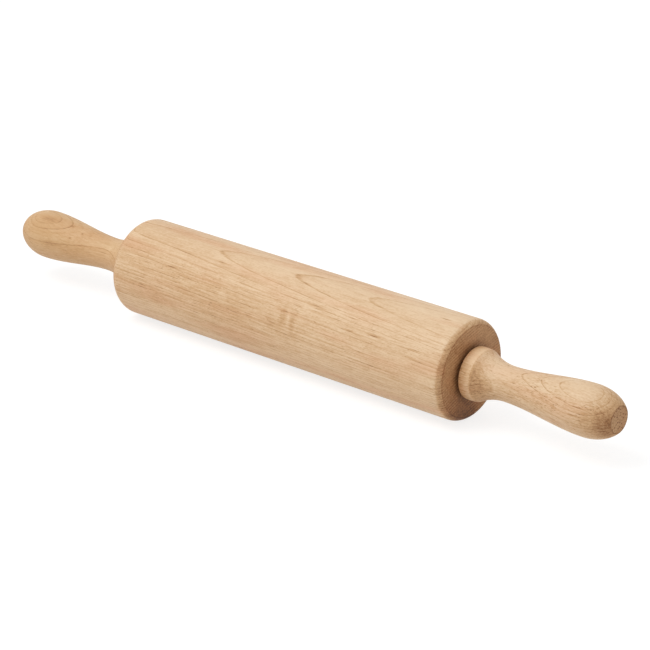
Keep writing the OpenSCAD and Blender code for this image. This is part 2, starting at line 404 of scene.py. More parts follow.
class Grain:
    """How one piece of beech was cut and what shows on it. Lengths are in millimetres and angles in
    degrees above the front. A patch is its angle, its place along the axis, its radius, its spread in
    X, Y and Z, and its amount."""

    # The shift of every noise, so that no two pieces match
    seed = 0.0
    # The side that faced the bark, the pith's distance behind the axis, and the layers' climb along it
    angle, pith, slope = 0.0, 40.0, 0.0
    # A layer where one year ends, the width of a year, and how far the rings wander and wobble
    line, spacing, sway, waver = 0.0, 1.9, 0.05, 0.08
    # Strength of the rings, width of their dark line as a share of a year, and how unbroken it is
    rings, line_width, whole = 1.0, 0.10, 0.35
    # The piece's own tone, and the strength of its texture, speckle, flecks and pink tint
    tone, texture, speckle, dashes, blush = 0.4, 1.0, 0.08, 1.0, 0.30
    # End grain: its tone, the contrast of its rings, and how squarely a surface must face the axis
    end, end_rings, end_from = 0.30, 0.1, 0.12
    # Flecks grow few from the first to the second of these, towards the side that faced the bark
    calm = (12.0, 15.0)
    # Lines fade in between these: where the rings lie steep, away from the middle, and by layer
    steep = quiet = faint = None
    # Heartwood: its last layer, how fast it changes, and the tone of the heart and of its seam
    heart = None
    # Size of the rows of pores in the end grain, in Y and Z
    pores = None
    # Patches that bend the layers, hush the lines, add flecks, and add to the tone
    bends = hushed = busy = patches = ()
    # Tints as a screen colour, and where they fade in along the axis
    stains = ()
    # Other marks, as functions
    marks = ()


class Beech(Recipe):
    """Steamed beech as a solid: growth rings round a pith outside the piece, long fibres, ray flecks,
    broad bands and darker end grain, so that sides and end faces agree."""

    def __init__(self, name, grain):
        super().__init__(bpy.data.materials.new(name))
        self.grain, self.seed = grain, grain.seed
        self.x, self.y, self.z = self.place()
        self.from_middle = self.x.size()
        self.from_axis = (self.y * self.y + self.z * self.z).root()
        across_y, across_z = around(grain.angle + 90, 1)
        out_y, out_z = around(grain.angle, 1)
        self.across = self.y * across_y + self.z * across_z
        self.outward = self.y * out_y + self.z * out_z
        facing = self.parts(self.node("ShaderNodeTexCoord", output="Normal"))[0].size()
        self.end = facing.smooth(grain.end_from, SQUARE_CUT)
        self.layer = self.grown_layer()
        self.waver = self.cloud(**WAVER) - HALF
        self.gaps = self.noise_over(self.across, self.outward, **GAPS).smooth(*GAP_LEVELS)

    def sized(self, first, second, size):
        """Coordinates in which a noise has the given size."""
        along, wide, deep = size
        return self.x / along + self.seed, first / wide, second / deep

    def noise_over(self, first, second, size, **look):
        """Noise along the grain and over two coordinates across it."""
        return self.noise(*self.sized(first, second, size), **look)

    def cloud(self, **look):
        """Noise that lies in the solid as it is."""
        return self.noise_over(self.y, self.z, **look)

    def streak(self, **look):
        """Noise that follows the growth layers."""
        return self.noise_over(self.across, self.layer, **look)

    def patch(self, angle, where, radius, spread, amount):
        """A soft patch that is amount at its centre and fades over its spread."""
        centre = (where, *around(angle, radius))
        places = zip((self.x, self.y, self.z), centre, spread)
        offsets = [(value - middle) / width for value, middle, width in places]
        return (reduce(add, [offset * offset for offset in offsets]) * -1).exponential() * amount

    def grown_layer(self):
        """Distance from the pith, less the pith's own: the same all over one year's wood."""
        grain = self.grain
        reach = self.outward + grain.pith
        layer = (self.across * self.across + reach * reach).root() - grain.pith + self.x * grain.slope
        for bend in grain.bends:
            layer = layer + self.patch(*bend)
        return layer

    def unbroken(self):
        """How much of the rings' lines shows: noise breaks them, and they fade where the grain says so."""
        grain = self.grain
        shown = self.gaps.lifted(grain.whole)
        if grain.steep:
            shown = shown * self.outward.smooth(*grain.steep).lifted(STEEP_FLOOR)
        if grain.quiet:
            shown = shown * self.from_middle.smooth(*grain.quiet)
        if grain.faint:
            shown = shown * self.layer.smooth(*grain.faint).lifted(FAINT_FLOOR)
        for patch in grain.hushed:
            shown = shown * (1 - self.patch(*patch))
        return shown

    def ring_tones(self, contrast):
        """What the growth rings add to the sides, and to the end grain."""
        grain = self.grain
        sway = self.cloud(**SWAY) - HALF
        ring = (self.layer + sway * grain.sway + self.waver * grain.waver - grain.line) / grain.spacing
        phase = ring.fraction()
        strength = self.random(ring.whole() + self.seed).lifted(RING_FLOOR) * grain.rings
        line = phase.smooth(grain.line_width, 0.0).larger(phase.smooth(LINE_START, 1.0))
        late = (1 - phase) ** LATE_POWER
        side = (line * self.unbroken() * LINE_TONE + late * LATE_TONE) * strength * contrast * (1 - self.end)
        hatch = self.noise(self.seed, self.y / HATCH_SIZE, self.z / HATCH_SIZE, detail=1.0)
        hatch = hatch.smooth(*HATCH_LEVELS).lifted(HATCH_FLOOR)
        cut = (phase.smooth(*CUT_LEVELS) - CUT_MEAN) * hatch * self.end * grain.end_rings
        return side, cut

    def scattered(self, size, part, levels, pick_levels):
        """Short dashes along the grain, of which a random colour picks the darker ones."""
        distance = self.cells(*self.sized(self.across, self.layer, size))
        pick = self.parts(distance.output("Color"))[part]
        return distance.smooth(*levels) * pick.smooth(*pick_levels)

    def liveliness(self):
        """How many flecks show: few where the rings lie flat, more in the busy patches."""
        calm_from, calm_to = self.grain.calm
        lively = self.outward.smooth(calm_to, calm_from).lifted(CALM_FLOOR)
        for patch in self.grain.busy:
            lively = lively + self.patch(*patch)
        return lively

    def heart_tone(self):
        """Darker heartwood inside one layer, with a thin broken seam along it."""
        inner, change, amount, seam_amount = self.grain.heart
        depth = self.layer + self.waver * HEART_WAVER
        seam = (depth - inner).size().smooth(*SEAM_LEVELS) * self.gaps.lifted(SEAM_FLOOR)
        return depth.smooth(inner + change, inner) * amount + seam * seam_amount

    def pore_tone(self, mottle):
        """Slanting rows of pores in the end grain."""
        wide, tall = self.y / self.grain.pores[0], self.z / self.grain.pores[1]
        rows = self.cells(0.0, wide + tall, wide - tall, PORE_SCATTER).smooth(*PORE_LEVELS)
        return (rows - PORE_MEAN) * self.end * mottle.smooth(*PORE_PICK) * PORE_TONE

    def finished(self, finish):
        """Adds up the tones, colours the wood and returns the material."""
        grain, end = self.grain, self.end
        fibre, hair = self.streak(**FIBRE), self.streak(**HAIR)
        bands, mottle, speckle = self.streak(**BANDS), self.cloud(**MOTTLE), self.cloud(**SPECKLE)
        vein = (self.streak(**VEINS) - HALF).size().smooth(*VEIN_LEVELS)
        dash = self.scattered(DASH_SIZE, 0, DASH_LEVELS, DASH_PICK)
        fleck = self.scattered(FLECK_SIZE, 1, FLECK_LEVELS, FLECK_PICK)
        marks = (dash * DASH_TONE + fleck * FLECK_TONE + vein * VEIN_TONE) * self.liveliness() * grain.dashes
        texture = (bands - HALF) * BAND_TONE + (fibre - HALF) * FIBRE_TONE
        texture = texture + (hair - HALF) * HAIR_TONE + (mottle - HALF) * MOTTLE_TONE
        side_rings, cut_rings = self.ring_tones(finish.grain)

        tone = grain.tone + texture * grain.texture + marks * (1 - end) + fleck * end * CUT_FLECK_TONE
        tone = tone + (speckle - HALF) * grain.speckle + side_rings + end * grain.end + cut_rings
        if grain.heart:
            tone = tone + self.heart_tone()
        if grain.pores:
            tone = tone + self.pore_tone(mottle)
        for patch in grain.patches:
            tone = tone + self.patch(*patch)
        for mark in grain.marks:
            tone = tone + mark(self)

        tints = (finish.pale, finish.wood, finish.tan, finish.brown, finish.dark)
        wood = self.ramp(tone, list(zip(TINT_TONES, tints)))
        for shade, low, high in grain.stains:
            wood = self.mix(self.from_middle.smooth(low, high), wood, from_screen(*shade), "MULTIPLY")
        blushed = self.mix(1.0, wood, finish.blush, "MULTIPLY")
        wood = self.mix(self.cloud(**TINT).smooth(*TINT_LEVELS) * grain.blush, wood, blushed)
        height = fibre * FIBRE_HEIGHT + hair * HAIR_HEIGHT - (dash + fleck) * PIT_DEPTH
        return self.surface(
            Base_Color=wood,
            Roughness=ROUGHNESS + (fibre - HALF) * FIBRE_ROUGHNESS + end * END_ROUGHNESS,
            Normal=self.bump(height, RELIEF, RELIEF_DEPTH),
            Specular_IOR_Level=SPECULAR,
        )


# Where the marks fade in, in millimetres from a corner, from the pin's middle or from its axis
CORNER_WIDTH, CORNER_DEPTH = (0.42, 0.05), (0.6, 0.1)
# The right rounded edge's darker band: end grain and painted shade
CUT_EDGE = (124.3, 125.7)
# The collar: dirt and painted shade next to the barrel, and a painted highlight along its front edge
COLLAR_SHADE_FADE, HIGHLIGHT_RISE, HIGHLIGHT_FALL = (136.5, 129.5), (134.8, 137.0), (137.5, 137.2)
# The painted shadow ring on the end faces round the collar
SHADOW_RING_RADIUS, SHADOW_RING_FACE = (20.5, 14.5), (127.2, 127.9)
EDGE_GRAIN_AND_SHADE_TONE, COLLAR_DIRT_AND_SHADE_TONE, HIGHLIGHT_TONE, SHADOW_RING_TONE = 0.15, 0.16, 0.05, 0.12


def corner_shade(radius, where, amount):
    """Handled edges and glue lines darken: a thin dark ring at a corner."""

    def shade(wood):
        ring = (wood.from_axis - radius).size().smooth(*CORNER_WIDTH)
        return ring * (where - wood.from_middle).smooth(*CORNER_DEPTH) * amount

    return shade


rim_shade = corner_shade(radius=27.2, where=128, amount=0.10)
glue_line = corner_shade(radius=7.8, where=228.5, amount=0.15)


def edge_grain_and_shade(wood):
    """The rounded edge on the right is darker: partly its fibres, which are cut across, and partly painted
    shade where the edge turns away from the light.
    """
    return wood.x.smooth(*CUT_EDGE) * (1 - wood.end) * EDGE_GRAIN_AND_SHADE_TONE


def collar_dirt_shade_and_highlight(wood):
    """The collar is darker next to the barrel, partly dirt and partly painted shade from the barrel's end
    face, and has a painted highlight along its front edge.
    """
    along = wood.from_middle
    highlight = along.smooth(*HIGHLIGHT_RISE) * along.smooth(*HIGHLIGHT_FALL)
    return along.smooth(*COLLAR_SHADE_FADE) * COLLAR_DIRT_AND_SHADE_TONE - highlight * HIGHLIGHT_TONE


def collar_shadow_ring(wood):
    """A dark ring of painted shade on the barrel's end faces, close to the collar, where the gap round the
    collar lies in shadow.
    """
    return wood.from_axis.smooth(*SHADOW_RING_RADIUS) * wood.from_middle.smooth(*SHADOW_RING_FACE) * SHADOW_RING_TONE


class BarrelGrain(Grain):
    """Flat-sawn beech with arches along the top and straight lines along the front."""

    seed = 3.7
    angle, pith, slope = 75.0, 300.0, 0.029
    line, spacing, sway, waver = 30.107, 1.746, 0.25, 0.16
    rings, line_width, whole = 1.15, 0.09, 0.45
    tone, texture, speckle, dashes, blush = 0.36, 0.95, 0.16, 1.0, 0.30
    # The end tone is partly the end grain's own and partly painted shade on the end faces
    end, end_rings, end_from = 0.315, 0.13, 0.30
    calm = (24.0, 29.6)
    bends = (
        (75, -130, 30, (40, 50, 50), 0.7),
        (72, 64, 30, (22, 16, 16), 0.14),
    )
    hushed = ((78, -42, 30, (20, 12, 12), 0.5),)
    busy = (
        (9.5, -47, 30, (10, 5, 5), 0.7),
        (32, -77, 30, (9, 4, 4), 0.5),
        (30, 77, 30, (7, 5, 5), 0.5),
        (-6, 71, 30, (7, 5, 5), 0.7),
        (-22, 97, 30, (7, 4, 4), 0.7),
    )
    patches = (
        # Broad tones of the side
        (5, -20, 30, (130, 16, 20), 0.05),
        (45, -105, 30, (60, 40, 40), 0.06),
        (14, -30, 30, (26, 9, 9), 0.06),
        (93, 92, 30, (34, 10, 10), -0.06),
        (60, -120, 29, (6, 12, 12), -0.03),
        # The right rim and end face: painted shade on the rim below and on the end face above and below the
        # collar, and a painted highlight on the rim at the top right
        (-80, 128, 29, (3, 15, 15), 0.14),
        (-50, 127, 29, (2.5, 16, 16), 0.14),
        (66, 126.5, 29, (2.2, 9, 9), -0.08),
        (60, 128, 24, (2, 7, 7), 0.09),
        (-88, 128, 25, (2, 8, 8), 0.10),
        # Single dark dashes
        (36, -80.8, 30, (3.6, 0.28, 0.28), 0.36),
        (60, -48.6, 30, (3.8, 0.28, 0.28), 0.32),
        (44.5, 31.6, 30, (3.6, 0.28, 0.28), 0.24),
        (43.7, 58.1, 30, (4.0, 0.26, 0.26), 0.26),
        (29, 59.7, 30, (3.6, 0.26, 0.26), 0.24),
        (32, 76.4, 30, (3.6, 0.3, 0.3), 0.24),
        (80, 112.9, 30, (3.0, 0.3, 0.3), 0.40),
        # A knot's curl close below the surface: a leaning smudge and a soft arc behind it
        (30, 11, 30, (2.2, 3.2, 3.2), 0.07),
        (18, 10.8, 30, (2.8, 3.8, 3.8), 0.15),
        (8, 3, 30, (3.6, 2.4, 2.4), 0.07),
        (19.5, 18.4, 30, (1.7, 3, 3), 0.15),
        (11, 18.4, 30, (1.8, 3, 3), 0.13),
        (3, 21.5, 30, (2.2, 2.6, 2.6), 0.07),
        (21, 15, 30, (1.3, 4, 4), -0.07),
        (24, 24, 30, (2.4, 4, 4), -0.05),
        (9, 9, 30, (4, 3, 3), 0.05),
        (11, 26, 30, (4, 4, 4), 0.05),
        (30, 0.5, 30, (3, 3, 3), -0.06),
        (19, 1.7, 30, (2, 0.5, 0.5), 0.12),
    )
    stains = (((255, 251, 248), 127.2, 127.9),)
    marks = (rim_shade, edge_grain_and_shade, collar_shadow_ring)


class LeftHandleGrain(Grain):
    """Cut close to the pith, with narrow ovals along the top of the grip and a darker heart."""

    seed = 11.2
    angle, pith, slope = 71.0, 32.4, -0.013
    line, spacing, sway, waver = 17.03, 1.22, 0.05, 0.06
    rings, line_width, whole = 0.9, 0.16, 0.25
    tone, texture, speckle, dashes, blush = 0.45, 0.6, 0.08, 0.6, 0.15
    end = 0.12
    calm = (10.0, 14.8)
    faint = (14.9, 15.7)
    heart = (10.95, 0.25, 0.07, 0.13)
    patches = (
        # Broad tones
        (5, -154, 11, (15, 16, 16), -0.08),
        (45, -204, 15, (18, 11, 11), 0.09),
        (-20, -205, 12, (20, 8, 8), -0.05),
        (78, -165, 11, (12, 8, 8), 0.05),
        # The streak in the oval, the gap in its line, a few dots and the line below
        (64, -205, 15, (6, 1.8, 1.8), 0.12),
        (68.8, -177.9, 12, (4, 1.6, 1.6), -0.07),
        (70.4, -185.9, 13, (1.3, 1.0, 1.0), 0.20),
        (59.6, -175.9, 12, (0.8, 0.6, 0.6), 0.24),
        (34.6, -182.6, 13, (0.8, 0.6, 0.6), 0.20),
        (6, -196, 14.5, (8, 1.6, 1.6), 0.09),
    )
    stains = (((251, 248, 239), 100, 101),)
    marks = (glue_line, collar_dirt_shade_and_highlight)


class RightHandleGrain(Grain):
    """Ovals along the top of the grip, lively flecks below them, and painted shade that darkens the wood
    round the tip.
    """

    seed = 23.9
    angle, pith, slope = 69.0, 52.0, 0.0227
    line, spacing, sway, waver = 18.434, 1.89, 0.05, 0.08
    rings = 1.5
    tone, texture, speckle, dashes, blush = 0.34, 0.8, 0.24, 1.3, 0.25
    steep = (5.0, 11.5)
    quiet = (142, 162)
    hushed = ((58, 168, 11, (5, 5, 5), 0.45),)
    busy = (
        (21, 196, 14, (6, 4, 4), 0.9),
        (12, 208, 15, (6, 3.5, 3.5), 0.4),
        (34, 179, 12, (5, 3, 3), 0.8),
        (8, 184, 13, (5, 3, 3), 0.7),
        (30, 218, 14, (4, 3, 3), 0.8),
    )
    patches = (
        # The collar and the neck: painted shade in the cove and on the lower side, and painted light on top
        # of the collar and the neck
        (64, 135, 15, (3, 5, 5), -0.12),
        (45, 135, 15, (4, 6, 6), 0.04),
        (-8, 136.2, 15, (2.0, 6, 6), -0.07),
        (38, 140.5, 13, (2.2, 5, 5), 0.07),
        (8, 141, 12, (7, 9, 9), 0.14),
        (-30, 143, 12, (8, 8, 8), 0.06),
        (-58, 144, 12, (7, 5, 5), 0.09),
        (66, 147, 12, (10, 6, 6), -0.12),
        (-20, 160, 12, (30, 8, 8), 0.09),
        (82, 165, 12, (9, 5, 5), -0.07),
        # The grip: painted shade towards the tip's dome and on its lower side, and a little painted light on
        # top
        (75, 206, 15, (9, 5, 5), -0.04),
        (0, 206, 14, (7, 5, 5), 0.05),
        (2, 215, 15, (3, 3.2, 3.2), 0.11),
        (36, 216, 14, (7, 4, 4), 0.02),
        (20, 219, 13, (6, 4, 4), 0.06),
        (98, 219, 13.5, (9, 4.5, 4.5), 0.10),
        (0, 221, 13, (9, 10, 10), 0.155),
        (-35, 222, 13, (12, 6, 6), 0.08),
        # Round the tip: painted shade on the dome, and two thin lines that run into it
        (12, 225, 11, (4, 5, 5), 0.07),
        (-48, 226, 10, (3.4, 4, 4), 0.13),
        (13, 227.6, 9, (1.6, 4, 4), 0.09),
        (-16.4, 218.5, 13.8, (2.8, 6, 0.35), 0.11),
        (-14.3, 223.2, 12, (2.6, 6, 0.35), 0.10),
        (-12.8, 227, 9.4, (2.2, 6, 0.35), 0.11),
        (-24, 225.5, 11, (4, 6, 0.35), 0.07),
        (-3, 223.5, 11.5, (5, 6, 0.3), 0.05),
    )
    stains = (((255, 250, 243), 138.4, 137.2),)
    marks = (glue_line, collar_dirt_shade_and_highlight)


class PlugGrain(Grain):
    """End grain with rows of open pores."""

    angle, pith, slope = 20.0, 40.0, 0.01
    line, spacing, sway, waver = 3.0, 1.9, 0.3, 0.1
    rings, line_width, whole = 1.0, 0.12, 0.3
    tone = 0.44
    end, end_rings, end_from = 0.28, 0.04, 0.30
    calm = (90.0, 91.0)
    pores = (3.5, 2.1)
    marks = (glue_line,)


class LeftPlugGrain(PlugGrain):
    seed = 30.4


class RightPlugGrain(PlugGrain):
    seed = 32.4


def beech(name, finish, grain):
    return Beech(name, grain).finished(finish)


def shifted(tint, factor):
    """A colour made darker by a factor below 1, or paler by one above it."""
    return tuple(min(1.0, part * factor) for part in tint)


# Clouds and fine lines on steel, flow and skin on nylon: what each adds to the tint and the roughness
CLOUD_LEVELS, CLOUD_SHARE, CLOUD_TINT, CLOUD_ROUGHNESS = (0.3, 0.7), 0.35, 0.72, 0.12
FINE_LEVELS, FINE_SHARE, FINE_TINT, FINE_ROUGHNESS = (0.35, 0.7), 0.2, 1.15, 0.14
FLOW_SIZE, FLOW_SHARE, FLOW_TINT, FLOW_ROUGHNESS = (2.2, 3.0, 3.0), 0.4, 0.8, 0.15
SKIN_SIZE, SKIN_ROUGHNESS, NYLON_ROUGHNESS = 0.12, 0.1, 0.40
FINE_RELIEF, SKIN_RELIEF, SKIN_DEPTH = 0.15, 0.2, 0.02 * MM


def metal(name, tint, roughness, lines, mottle_size):
    """Steel with fine turning or grinding lines and slight clouding, with both sizes in millimetres."""
    recipe = new_recipe(name)
    x, y, z = recipe.place()
    radius = (y * y + z * z).root()
    fine = recipe.noise(x / lines, radius / lines, 0.0, detail=3.0, roughness=0.7)
    cloud = recipe.noise(x / mottle_size, y / mottle_size, z / mottle_size, detail=3.0)
    shade = recipe.mix(cloud.smooth(*CLOUD_LEVELS) * CLOUD_SHARE, tint, shifted(tint, CLOUD_TINT))
    shade = recipe.mix(fine.smooth(*FINE_LEVELS) * FINE_SHARE, shade, shifted(tint, FINE_TINT))
    return recipe.surface(
        Base_Color=shade,
        Metallic=1.0,
        Roughness=roughness + (cloud - HALF) * CLOUD_ROUGHNESS + (fine - HALF) * FINE_ROUGHNESS,
        Normal=recipe.bump(fine, FINE_RELIEF, SKIN_DEPTH),
    )


def nylon(name, tint):
    """Moulded nylon with a faint flow pattern and a fine matt skin."""
    recipe = new_recipe(name)
    places = recipe.place()
    flow = recipe.noise(*(p / size for p, size in zip(places, FLOW_SIZE)), detail=3.0, distortion=0.8)
    skin = recipe.noise(*(p / SKIN_SIZE for p in places), detail=2.0)
    return recipe.surface(
        Base_Color=recipe.mix(flow.smooth(*CLOUD_LEVELS) * FLOW_SHARE, tint, shifted(tint, FLOW_TINT)),
        Roughness=NYLON_ROUGHNESS + (flow - HALF) * FLOW_ROUGHNESS + (skin - HALF) * SKIN_ROUGHNESS,
        Normal=recipe.bump(skin, SKIN_RELIEF, SKIN_DEPTH),
    )


def deselect():
    bpy.ops.object.select_all(action="DESELECT")


def activate(piece):
    deselect()
    piece.select_set(True)
    bpy.context.view_layer.objects.active = piece


def arc(centre, radius, start, stop, steps=16):
    """Places on a circle, as (along, radius), with angles from the axis in radians."""
    angles = [start + (stop - start) * i / steps for i in range(steps + 1)]
    return [(centre[0] + radius * math.cos(a), centre[1] + radius * math.sin(a)) for a in angles]


def barrel_outline(sizes):
    """The right half from the bore's middle round to the top of the barrel, and its mirror image."""
    end, drop, run = sizes.half_barrel, sizes.edge_drop, sizes.edge_length
    edge_radius = (run * run + drop * drop) / (2 * drop)
    seat_x = end - sizes.seat_depth
    relief_x = seat_x - sizes.relief_depth
    turn = math.asin(run / edge_radius)
    edge = arc((end - run, sizes.barrel_radius - edge_radius), edge_radius, math.pi / 2 - turn, math.pi / 2)
    # Rings along the side, so that no face is long and thin
    stations = [(end * k, sizes.barrel_radius) for k in (0.9, 0.75, 0.6, 0.45, 0.3, 0.15)]
    half = [
        (end * 0.5, sizes.bore_radius),
        (relief_x, sizes.bore_radius), (relief_x, sizes.relief_radius),
        (seat_x, sizes.relief_radius), (seat_x, sizes.seat_radius),
        (end, sizes.seat_radius), (end, (sizes.seat_radius + sizes.barrel_radius) / 2),
        *edge, *stations,
    ]
    left = [(-along, radius) for along, radius in reversed(half)]
    return [(0.0, sizes.bore_radius), *half, (0.0, sizes.barrel_radius), *left]


TIP_STEPS = 24
GRIP_STEPS = 32
COVE_STEPS = 20
COLLAR_STEPS = 10


def handle_outline(sizes):
    """The handle's section from the axle hole to the pocket, then back over the grip to the collar."""
    back = Vector((sizes.collar_place, sizes.collar_back))
    front = Vector((sizes.collar_place + sizes.collar_length, sizes.collar_front))
    neck = Vector((sizes.collar_place + sizes.neck_place, sizes.neck_radius))
    grip = Vector((sizes.tip_place - sizes.grip_to_tip, sizes.grip_radius))
    tip_angle = math.acos(sizes.tip_radius / sizes.grip_radius)
    tip_reach = sizes.grip_to_tip / math.sin(tip_angle)
    points = [
        (sizes.collar_place, sizes.hole_radius), (sizes.pocket_floor, sizes.hole_radius),
        (sizes.pocket_floor, sizes.pocket_radius), (sizes.tip_place, sizes.pocket_radius),
    ]
    for i in range(TIP_STEPS, 0, -1):
        a = tip_angle * i / TIP_STEPS
        points.append((grip.x + tip_reach * math.sin(a), grip.y * math.cos(a)))
    for i in range(GRIP_STEPS, 0, -1):
        s = i / GRIP_STEPS
        rise = s * s * (3 - 2 * s)
        points.append((neck.x + (grip.x - neck.x) * s, neck.y + (grip.y - neck.y) * rise))
    cove = neck - front
    cove_radius = -cove.length_squared / (2 * cove.y)
    turn = math.asin(cove.x / cove_radius)
    points += arc((neck.x, neck.y + cove_radius), cove_radius, -math.pi / 2, -math.pi / 2 - turn, COVE_STEPS)
    line = front - back
    outward = Vector((-line.y, line.x)).normalized()
    for i in range(COLLAR_STEPS - 1, -1, -1):
        s = i / COLLAR_STEPS
        points.append(tuple(back + line * s + outward * sizes.collar_crown * 4 * s * (1 - s)))
    points.append((sizes.collar_place, (sizes.collar_back + sizes.hole_radius) / 2))
    return points


def plug_outline(sizes):
    """A solid plug, so its outline starts and ends on the axis."""
    front, back = sizes.tip_place, sizes.tip_place - sizes.plug_length
    return [
        (back, 0.0), (back, sizes.plug_radius / 2), (back, sizes.plug_radius),
        (front, sizes.plug_radius), (front, sizes.plug_radius / 2), (front, 0.0),
    ]


EASE_STEPS = 4
MERGE_DISTANCE = 0.002 * MM
CORNER_TOLERANCE = 0.01 * MM
CRISP_ANGLE = math.radians(24)


def turned(name, outline, turns, corners):
    """Turns an outline of (along, radius) places round X as on a lathe, then eases its corners."""
    deselect()
    start, start_radius = outline[0]
    bpy.ops.mesh.primitive_plane_add(size=MM, location=(start, 0, start_radius))
    piece = bpy.context.object
    piece.name = piece.data.name = name
    bpy.ops.object.transform_apply(location=True, rotation=False, scale=False)
    bpy.ops.object.mode_set(mode="EDIT")
    bpy.ops.mesh.select_mode(type="VERT")
    bpy.ops.mesh.select_all(action="SELECT")
    bpy.ops.mesh.merge(type="CENTER")
    for (x0, r0), (x1, r1) in zip(outline, outline[1:]):
        bpy.ops.mesh.extrude_vertices_move(TRANSFORM_OT_translate={"value": (x1 - x0, 0, r1 - r0)})
    if start_radius > 0:
        join_ends(piece)
    bpy.ops.mesh.select_all(action="SELECT")
    bpy.ops.mesh.spin(steps=turns, angle=math.tau, center=(0, 0, 0), axis=(1, 0, 0))
    bpy.ops.mesh.select_all(action="SELECT")
    bpy.ops.mesh.remove_doubles(threshold=MERGE_DISTANCE)
    bpy.ops.mesh.normals_make_consistent(inside=False)
    for along, radius, width in corners:
        ease_corner(piece, along, radius, width)
    bpy.ops.object.mode_set(mode="OBJECT")
    return piece


def join_ends(piece):
    """Joins an outline's last place to its first, so that the turned piece is hollow and closed."""
    mesh = bmesh.from_edit_mesh(piece.data)
    for vert in mesh.verts:
        vert.select_set(len(vert.link_edges) < 2)
    mesh.select_flush_mode()
    bpy.ops.mesh.edge_face_add()


def ease_corner(piece, along, radius, width):
    """Bevels the ring of edges at one corner of a turned piece."""

    def at_corner(vert):
        off_axis = math.hypot(vert.co.y, vert.co.z) - radius
        return abs(vert.co.x - along) < CORNER_TOLERANCE and abs(off_axis) < CORNER_TOLERANCE

    bpy.ops.mesh.select_mode(type="EDGE")
    bpy.ops.mesh.select_all(action="DESELECT")
    mesh = bmesh.from_edit_mesh(piece.data)
    ring = [edge for edge in mesh.edges if all(at_corner(vert) for vert in edge.verts)]
    if not ring:
        raise RuntimeError(f"{piece.name} has no corner at {along}, {radius}")
    for edge in ring:
        edge.select_set(True)
    bmesh.update_edit_mesh(piece.data)
    bpy.ops.mesh.bevel(offset=width, segments=EASE_STEPS, affect="EDGES")


def turned_pair(kind, outline, turns, corners):
    """The same piece at both ends: turned once on the right and copied, and the first goes left."""
    left = turned(f"left_{kind}", outline, turns, corners)
    bpy.ops.object.duplicate(linked=False)
    right = bpy.context.object
    right.name = right.data.name = f"right_{kind}"
    activate(left)
    bpy.ops.object.mode_set(mode="EDIT")
    bpy.ops.mesh.select_all(action="SELECT")
    bpy.ops.transform.resize(value=(-1, 1, 1), center_override=(0, 0, 0))
    bpy.ops.mesh.normals_make_consistent(inside=False)
    bpy.ops.object.mode_set(mode="OBJECT")
    return {"left": left, "right": right}


def smooth_faces(piece):
    """Shades a turned piece smooth, with crisp corners and flat faces that stay flat."""
    activate(piece)
    bpy.ops.object.shade_smooth_by_angle(angle=CRISP_ANGLE)
    bpy.ops.object.modifier_add(type="WEIGHTED_NORMAL")
    piece.modifiers[-1].keep_sharp = True
    bpy.ops.object.modifier_apply(modifier=piece.modifiers[-1].name)


def dress(piece, body, node, material):
    """Lets a new piece stand for a CAD node."""
    smooth_faces(piece)
    piece.data.materials.clear()
    piece.data.materials.append(material)
    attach(piece, body)
    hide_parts(node)


def coat(node, material):
    """Gives a CAD node that keeps its own shape its finish."""
    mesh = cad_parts[node].data
    mesh.materials.clear()
    mesh.materials.append(material)


class PIN_OT_turn_barrel(bpy.types.Operator):
    """Turn the beech barrel with its bore, bearing seats and rounded edges"""

    bl_idname = "pin.turn_barrel"
    bl_label = "Barrel"

    def execute(self, context):
        sizes, finish = context.scene.pin_sizes, context.scene.pin_finish
        face_radius = sizes.barrel_radius - sizes.edge_drop
        corners = [
            (end, radius, width)
            for end in (-sizes.half_barrel, sizes.half_barrel)
            for radius, width in ((face_radius, sizes.face_ease), (sizes.seat_radius, sizes.seat_ease))
        ]
        piece = turned("barrel_wood", barrel_outline(sizes), sizes.turns, corners)
        material = beech("barrel_beech", finish, BarrelGrain)
        dress(piece, "barrel", "barrel", material)
        return {"FINISHED"}


class PIN_OT_turn_handles(bpy.types.Operator):
    """Turn both beech handles, each with its collar, neck, grip and pocket"""

    bl_idname = "pin.turn_handles"
    bl_label = "Handles"

    def execute(self, context):
        sizes, finish = context.scene.pin_sizes, context.scene.pin_finish
        corners = [
            (sizes.collar_place, sizes.collar_back, sizes.collar_ease),
            (sizes.collar_place, sizes.hole_radius, sizes.hole_ease),
            (sizes.collar_place + sizes.collar_length, sizes.collar_front, sizes.front_ease),
            (sizes.tip_place, sizes.tip_radius, sizes.tip_ease),
            (sizes.tip_place, sizes.pocket_radius, sizes.tip_ease),
        ]
        pair = turned_pair("handle_wood", handle_outline(sizes), sizes.turns, corners)
        for side, grain in (("left", LeftHandleGrain), ("right", RightHandleGrain)):
            material = beech(f"{side}_handle_beech", finish, grain)
            dress(pair[side], "axle_and_handles", f"{side}_handle", material)
        return {"FINISHED"}


class PIN_OT_turn_plugs(bpy.types.Operator):
    """Turn the wooden plug that closes the tip of each handle"""

    bl_idname = "pin.turn_plugs"
    bl_label = "End Plugs"

    def execute(self, context):
        sizes, finish = context.scene.pin_sizes, context.scene.pin_finish
        corners = [
            (sizes.tip_place, sizes.plug_radius, sizes.tip_ease),
            (sizes.tip_place - sizes.plug_length, sizes.plug_radius, sizes.plug_ease),
        ]
        pair = turned_pair("end_plug_wood", plug_outline(sizes), sizes.turns, corners)
        for side, grain in (("left", LeftPlugGrain), ("right", RightPlugGrain)):
            material = beech(f"{side}_plug_beech", finish, grain)
            dress(pair[side], "axle_and_handles", f"{side}_end_plug", material)
        return {"FINISHED"}


